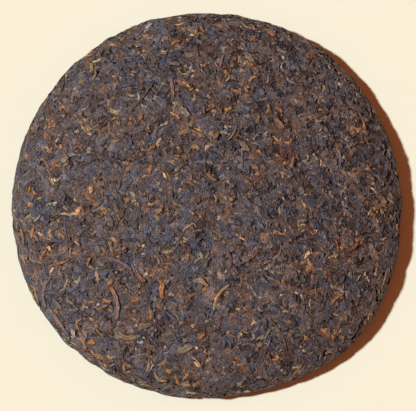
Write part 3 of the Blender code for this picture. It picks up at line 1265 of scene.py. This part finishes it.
def leaf_kinds() -> list[LeafKind]:
    """Every scattered kind, from the broad leaves under the rest to the crumbs."""
    broad = LeafHabit(
        ShellForm(Section.CREASED, 5, smooth=False),
        length=mm(4.5, 12.0),
        width=mm(2.2, 5.2),
        thickness=mm(0.30, 0.50),
        top=mm(-0.45, 0.16),
        dip=mm(0.05, 0.25),
        bend=radians(34.0),
        s_bend=radians(16.0),
        roll=radians(6.0),
        twist=radians(14.0),
        wave=0.10 * MM,
        bias=2.0,
    )
    strand = LeafHabit(
        ShellForm(Section.ROLLED, 4),
        length=mm(3.6, 12.0),
        width=mm(0.7, 1.7),
        thickness=mm(0.45, 0.80),
        top=mm(-0.50, 0.46),
        dip=mm(0.10, 0.45),
        bend=radians(68.0),
        s_bend=radians(30.0),
        roll=radians(12.0),
        twist=radians(30.0),
        bias=1.8,
    )
    tip = LeafHabit(
        ShellForm(Section.PRESSED, 4, ragged=0.28),
        length=mm(1.8, 8.0),
        width=mm(0.75, 2.00),
        thickness=mm(0.40, 0.65),
        top=mm(-0.40, 0.36),
        dip=mm(0.05, 0.40),
        bend=radians(75.0),
        s_bend=radians(24.0),
        blunt=(0.20, 0.60),
    )
    stem = LeafHabit(
        ShellForm(Section.ROUND, 5, ragged=0.10),
        length=mm(4.0, 12.0),
        width=mm(0.50, 0.95),
        thickness=mm(0.40, 0.60),
        top=mm(-0.40, 0.22),
        dip=mm(0.05, 0.35),
        bend=radians(30.0),
        s_bend=radians(16.0),
        blunt=(0.12, 0.28),
    )
    shard = LeafHabit(
        ShellForm(Section.PRESSED, 3, ragged=0.30, smooth=False),
        length=mm(1.4, 5.0),
        width=mm(0.7, 2.0),
        thickness=mm(0.25, 0.40),
        top=mm(-0.35, 0.18),
        dip=mm(0.0, 0.20),
        bend=radians(30.0),
        blunt=(0.2, 0.5),
    )
    crumb = LeafHabit(
        ShellForm(Section.CHIP, 1, smooth=False),
        length=mm(0.5, 1.6),
        width=mm(0.4, 0.95),
        thickness=mm(0.30, 0.50),
        top=mm(-0.50, 0.10),
        dip=mm(0.0, 0.05),
        roll=radians(16.0),
        blunt=(0.3, 0.7),
    )
    flake = LeafHabit(
        ShellForm(Section.PRESSED, 2, ragged=0.30, smooth=False),
        length=mm(1.6, 6.0),
        width=mm(1.1, 3.2),
        thickness=mm(0.25, 0.40),
        top=mm(-0.30, 0.18),
        dip=mm(0.0, 0.08),
        bend=radians(35.0),
        roll=radians(7.0),
        twist=radians(12.0),
        blunt=(0.10, 0.35),
        bias=1.8,
    )
    gold = LeafFinish("golden_tip", GOLD_TINTS, sheen=0.2, streak_depth=0.6)
    slate = DARK_TINTS[1:] + GREY_TINTS
    rusty = BROWN_TINTS + DARK_TINTS[:1]
    mixed = BROWN_TINTS + slate + GOLD_TINTS[:1]
    proud = 0.34 * MM
    return [
        LeafKind("broad_leaves", 2600, broad, LeafFinish("broad_leaf", slate + BROWN_TINTS[:2]), 1),
        LeafKind("dark_strands", 2100, strand, LeafFinish("dark_leaf", DARK_TINTS), 2, press_line=proud),
        LeafKind("brown_strands", 1700, strand, LeafFinish("brown_leaf", BROWN_TINTS), 3, press_line=proud),
        LeafKind("grey_strands", 1500, strand, LeafFinish("grey_leaf", GREY_TINTS), 4, press_line=proud),
        LeafKind("slate_flakes", 8400, flake, LeafFinish("slate_flake", slate), 9),
        LeafKind("brown_flakes", 5200, flake, LeafFinish("brown_flake", rusty), 10),
        LeafKind("golden_tips", 5400, tip, gold, 5, gathering=0.9, press_line=0.22 * MM),
        LeafKind("red_stems", 700, stem, LeafFinish("red_stem", STEM_TINTS), 6, gathering=0.4),
        LeafKind("pale_shards", 800, shard, LeafFinish("pale_shard", PALE_TINTS), 7, gathering=0.5),
        LeafKind("crumbs", 3600, crumb, LeafFinish("crumb", mixed, spread=0.4), 8),
    ]


# The listed leaves: x, y, length, width, heading and bend of each.
ORANGE_TIPS = (
    Laid(-23.8, -46.7, 9.5, 2.0, -92, 14),
    Laid(-73.2, -32.0, 7.9, 1.5, 20, 6),
    Laid(-53.3, -54.9, 6.2, 1.3, 24, 22),
    Laid(-49.7, -42.6, 4.6, 1.8, 44, 20),
    Laid(-83.2, -28.2, 7.0, 1.1, -122, 36),
    Laid(-60.5, -32.3, 5.0, 1.2, 74, -15),
    Laid(-88.6, -17.0, 6.2, 1.3, -100, 20),
    Laid(-65.2, -62.9, 8.0, 1.0, 255, 160),
    Laid(-59.0, -71.9, 4.2, 2.4, 12, 20),
    Laid(-4.5, -69.5, 5.0, 1.5, 35, 30),
    Laid(10.9, -69.3, 4.6, 1.3, -30, 25),
    Laid(-29.0, 25.2, 5.6, 1.8, 40, 20),
    Laid(-29.7, 13.9, 6.0, 1.6, 85, 20),
    Laid(-34.5, 41.0, 4.8, 1.9, 68, -25),
    Laid(21.7, 69.4, 4.4, 1.6, -30, 20),
    Laid(14.2, 54.8, 7.0, 1.6, -22, 20),
    Laid(19.4, 55.8, 4.0, 1.2, -60, 60),
    Laid(42.3, 18.0, 7.0, 1.8, 75, -20),
    Laid(29.9, 45.4, 6.6, 1.6, 80, 120),
    Laid(24.8, 40.4, 6.0, 1.5, 76, 20),
    Laid(3.6, 31.7, 6.0, 1.9, 62, 10),
    Laid(-4.0, 31.7, 5.0, 1.9, -32, 15),
    Laid(-16.4, 81.1, 6.2, 1.5, 30, -60),
    Laid(-2.7, 89.2, 6.0, 1.3, -72, 40),
    Laid(81.3, 16.0, 4.6, 1.4, -60, 30),
    Laid(-11.2, -30.3, 4.4, 1.3, 80, 20),
)
GOLD_TIPS = (
    Laid(-59.5, 68.4, 6.6, 1.5, 95, 50),
    Laid(-57.5, 64.6, 5.2, 1.2, -101, 20),
    Laid(-64.9, 39.1, 5.6, 1.3, -49, -34),
    Laid(-79.6, 25.2, 4.6, 1.2, 60, 20),
    Laid(-76.0, 17.0, 4.0, 1.4, -20, 30),
    Laid(-75.4, 9.8, 4.2, 1.1, 35, -40),
    Laid(-90.2, 5.7, 4.0, 1.4, 80, 30),
    Laid(-87.3, 3.3, 4.4, 1.3, -40, 20),
    Laid(-85.0, 0.4, 3.8, 1.2, 15, -30),
    Laid(28.4, 50.8, 5.2, 1.3, 14, 20),
    Laid(36.1, 45.3, 4.4, 1.9, -40, 30),
    Laid(36.1, 38.1, 7.2, 1.4, -52, -30),
    Laid(9.9, 45.4, 4.6, 2.0, 20, 30),
    Laid(1.1, 9.8, 7.4, 1.6, -38, -10),
    Laid(-6.6, 25.4, 4.6, 2.2, -30, 20),
    Laid(56.1, 39.9, 4.6, 1.2, 5, 20),
    Laid(79.8, 38.6, 6.0, 1.2, -80, -20),
    Laid(75.2, 59.2, 4.4, 1.4, -45, 10),
    Laid(33.0, 87.2, 6.0, 1.8, -35, -10),
    Laid(4.9, -50.0, 17.0, 1.5, -122, 58),
    Laid(-4.2, -29.6, 5.2, 1.2, -68, 20),
    Laid(-1.6, -29.8, 4.8, 1.1, 62, 20),
    Laid(27.9, -52.9, 4.2, 1.5, 20, 30),
    Laid(63.8, -50.8, 9.6, 1.3, 40, -70),
    Laid(-25.1, -89.4, 10.0, 1.4, -40, 62),
    Laid(-31.0, -84.5, 6.0, 1.2, 70, 30),
    Laid(-86.2, -9.7, 5.4, 1.2, 40, 120),
    Laid(-69.5, -52.0, 4.6, 1.1, -34, 20),
    Laid(-34.6, -40.4, 7.0, 1.7, -52, -10),
)
TAN_LEAVES = (
    Laid(-12.5, 43.7, 7.2, 2.7, -48, 8),
    Laid(-72.9, 20.1, 5.2, 2.2, 30, 20),
    Laid(-16.8, 69.6, 5.4, 1.5, -4),
    Laid(21.2, 73.4, 7.2, 2.6, -55, 12),
    Laid(74.6, 44.3, 4.6, 1.7, -30, 10),
    Laid(18.6, 25.8, 6.6, 2.1, -60, 15),
    Laid(93.0, 24.7, 4.6, 1.5, -70),
    Laid(-76.0, -52.9, 7.2, 2.0, -48, -16),
    Laid(-41.0, -68.8, 15.0, 2.2, -10, 34),
    Laid(-12.7, -75.5, 9.0, 3.0, 25, 16),
    Laid(-4.8, -43.1, 9.6, 2.0, -25, -24),
    Laid(24.5, -7.7, 6.8, 0.9, -67),
    Laid(46.4, -12.0, 5.2, 1.6, 8, 20),
    Laid(28.9, -67.5, 5.0, 1.2, 60, 10),
    Laid(66.4, -69.8, 3.0, 1.4, -20),
    Laid(89.3, -40.0, 13.0, 2.1, 244, -8),
    Laid(-18.4, 76.1, 2.0, 1.7, 10),
    Laid(-32.5, -64.5, 8.0, 2.4, 18, 20),
)
BROWN_STRANDS = (
    Laid(-81.6, -46.7, 18.5, 1.6, -101, 48),
    Laid(-76.0, -61.1, 19.0, 2.1, -56, -42),
    Laid(-47.2, -52.9, 18.5, 1.9, -80, -50),
    Laid(-44.0, -33.5, 13.0, 1.6, -32, -44),
    Laid(7.3, 71.8, 11.2, 1.0, 74, 6),
    Laid(65.9, 59.7, 5.4, 1.1, 101),
    Laid(16.6, 19.3, 9.8, 1.0, 90, -8),
    Laid(12.0, 33.0, 11.0, 1.1, 60, 44),
    Laid(18.6, -31.6, 14.0, 1.1, 35, 8),
    Laid(-18.4, 56.6, 15.0, 1.5, -84, 16),
    Laid(-64.5, -83.0, 13.0, 1.9, -20, 14),
    Laid(-47.0, -88.5, 15.0, 1.6, -24, -10),
    Laid(-93.5, -18.5, 11.0, 1.6, -78, 16),
    Laid(31.0, -41.0, 9.0, 1.1, -20, 50),
)
SLATE_LEAVES = (
    Laid(-9.5, 50.0, 15.0, 5.4, -58, -14),
    Laid(-42.0, 60.0, 11.0, 4.4, 20, 12),
    Laid(2.0, 20.0, 10.0, 4.6, -20, 16),
    Laid(-60.0, 10.0, 10.0, 4.2, 65, -12),
    Laid(-22.0, -20.0, 10.0, 4.4, 40, 14),
    Laid(48.0, 30.0, 9.0, 4.2, -70, 10),
    Laid(56.0, -60.0, 9.0, 4.0, 30, 14),
    Laid(-62.0, -44.0, 9.5, 4.4, 12, 18),
)
RED_STEMS = (
    Laid(-33.0, 52.5, 20.0, 1.2, 52, 3),
    Laid(52.0, 71.5, 5.2, 1.0, 60),
    Laid(50.0, -15.9, 4.2, 1.2, -40, 20),
    Laid(64.1, -24.1, 8.4, 1.1, 101, 4),
    Laid(72.0, -24.8, 10.0, 1.7, 32, 8),
    Laid(9.6, -31.6, 9.9, 1.7, -81, 12),
    Laid(34.6, -68.8, 19.0, 0.9, -62, -40),
    Laid(-2.5, 45.0, 7.5, 0.9, 95, 12),
)


def laid_leaves() -> list[LaidLeaves]:
    """The listed leaves, by finish."""
    return [
        LaidLeaves(
            "laid_orange_tips",
            LeafFinish("orange_tip", ORANGE_TINTS, spread=0.12),
            ORANGE_TIPS,
            31,
        ),
        LaidLeaves(
            "laid_gold_tips",
            LeafFinish("laid_gold", GOLD_TINTS[:3], spread=0.14),
            GOLD_TIPS,
            32,
        ),
        LaidLeaves(
            "laid_tan_leaves",
            LeafFinish("laid_tan", TAN_TINTS, spread=0.12),
            TAN_LEAVES,
            33,
            Section.FOLDED,
        ),
        LaidLeaves(
            "laid_brown_strands",
            LeafFinish("laid_brown", CHESTNUT_TINTS, spread=0.10),
            BROWN_STRANDS,
            34,
        ),
        LaidLeaves(
            "laid_slate_leaves",
            LeafFinish("laid_slate", SLATE_TINTS, spread=0.08),
            SLATE_LEAVES,
            36,
            Section.CREASED,
            thickness=0.5 * MM,
            top=0.22 * MM,
            press_line=0.20 * MM,
            dip=0.35 * MM,
        ),
        LaidLeaves(
            "laid_red_stems",
            LeafFinish("laid_red", STEM_TINTS, spread=0.12),
            RED_STEMS,
            35,
            Section.ROUND,
        ),
    ]


def direction(azimuth: float, elevation: float) -> Vector:
    """The unit vector at an angle round from +X and an angle up from the floor."""
    flat = cos(elevation)
    return Vector((flat * cos(azimuth), flat * sin(azimuth), sin(elevation)))


@dataclass
class Studio:
    """A pale floor, a soft key light from the left, a warm fill, and the camera."""

    floor_colour: Colour = (0.685, 0.735, 0.612)
    floor_size: float = 6.0
    key_strength: float = 4.73
    key_elevation: float = radians(48.0)
    key_from: float = radians(177.0)
    key_spread: float = radians(4.5)
    key_colour: Colour = (1.0, 0.985, 0.97)
    fill_colour: Colour = (0.30, 0.080, 0.034)
    fill_strength: float = 1.0
    backdrop_colour: Colour = (0.93, 0.86, 0.74)
    focal: float = 150.0
    sensor: float = 36.0
    view_elevation: float = radians(80.0)
    view_from: float = radians(-108.0)
    frame_width: float = 0.2110
    aim_right: float = -0.0003
    aim_up: float = -0.0025

    def floor(self) -> bpy.types.Object:
        """A plain pale floor under the cake."""
        half, bottom = self.floor_size, CAD_BOX[0][2]
        corners = [(x * half, y * half, bottom) for x, y in ((-1, -1), (1, -1), (1, 1), (-1, 1))]
        mesh = bpy.data.meshes.new("floor")
        mesh.from_pydata(corners, [], [(0, 1, 2, 3)])
        material = bpy.data.materials.new("pale_floor")
        material.use_nodes = True
        bench = NodeBench(material.node_tree)
        at = bench.add("ShaderNodeTexCoord").outputs["Object"]
        stretched = bench.add("ShaderNodeMapping", {"Vector": at, "Scale": (1.0, 9.0, 1.0)})
        grain = bench.noise(stretched.outputs[0], 14.0, 3.0)
        tone = bench.remap(grain, (0.3, 0.7), (0.985, 1.0))
        colour = bench.mix("MULTIPLY", 1.0, (*self.floor_colour, 1.0), tone)
        shader = bench.add("ShaderNodeBsdfPrincipled", {"Base Color": colour, "Roughness": 0.9})
        bench.add("ShaderNodeOutputMaterial", {"Surface": shader.outputs[0]})
        mesh.materials.append(material)
        floor = bpy.data.objects.new("floor", mesh)
        bpy.context.scene.collection.objects.link(floor)
        return floor

    def light(self) -> None:
        """The key is a soft sun; the world fills the shadows, and is pale where the camera sees it."""
        lamp = bpy.data.lights.new("key", "SUN")
        lamp.energy = self.key_strength
        lamp.angle = self.key_spread
        lamp.color = self.key_colour
        key = bpy.data.objects.new("key", lamp)
        towards = direction(self.key_from, self.key_elevation)
        key.rotation_euler = towards.to_track_quat("Z", "Y").to_euler()
        bpy.context.scene.collection.objects.link(key)
        world = bpy.data.worlds.new("studio")
        world.use_nodes = True
        bench = NodeBench(world.node_tree)
        fill = bench.add(
            "ShaderNodeBackground",
            {"Color": (*self.fill_colour, 1.0), "Strength": self.fill_strength},
        )
        pale = bench.add("ShaderNodeBackground", {"Color": (*self.backdrop_colour, 1.0), "Strength": 1.0})
        seen = bench.add("ShaderNodeLightPath").outputs["Is Camera Ray"]
        both = bench.add("ShaderNodeMixShader", {0: seen, 1: fill.outputs[0], 2: pale.outputs[0]})
        bench.add("ShaderNodeOutputWorld", {"Surface": both.outputs[0]})
        bpy.context.scene.world = world
        bpy.context.scene.view_settings.view_transform = "Standard"

    def camera(self) -> None:
        """A long lens almost straight above, with +X to the right and +Y to the top of the view.

        The distance is the width to show times the focal length over the sensor's width.
        """
        low, high = (Vector(corner) for corner in CAD_BOX)
        target = 0.5 * (low + high)
        towards = direction(self.view_from, self.view_elevation)
        right = (Vector((1.0, 0.0, 0.0)) - towards * towards.x).normalized()
        up = towards.cross(right)
        target = target + right * self.aim_right + up * self.aim_up
        distance = self.frame_width * self.focal / self.sensor
        turn = Matrix((right, up, towards)).transposed().to_4x4()
        camera = bpy.data.objects.new("camera", bpy.data.cameras.new("camera"))
        camera.data.lens = self.focal
        camera.data.sensor_width = self.sensor
        camera.data.clip_start = 0.01
        camera.matrix_world = Matrix.Translation(target + towards * distance) @ turn
        bpy.context.scene.collection.objects.link(camera)
        bpy.context.scene.camera = camera


def main() -> None:
    """Builds the cake's body, every kind of leaf, and the studio."""
    logging.basicConfig(level=logging.INFO, format="%(name)s %(message)s")
    form = CakeForm()
    relief = PressRelief()
    region = Region()
    PressedBody(form, relief).build()
    press = LeafPress(form, relief)
    for kind in leaf_kinds():
        kind.build(press, region)
    for laid in laid_leaves():
        laid.build(press, region)
    studio = Studio()
    studio.floor()
    studio.light()
    studio.camera()


if __name__ == "__main__":
    main()
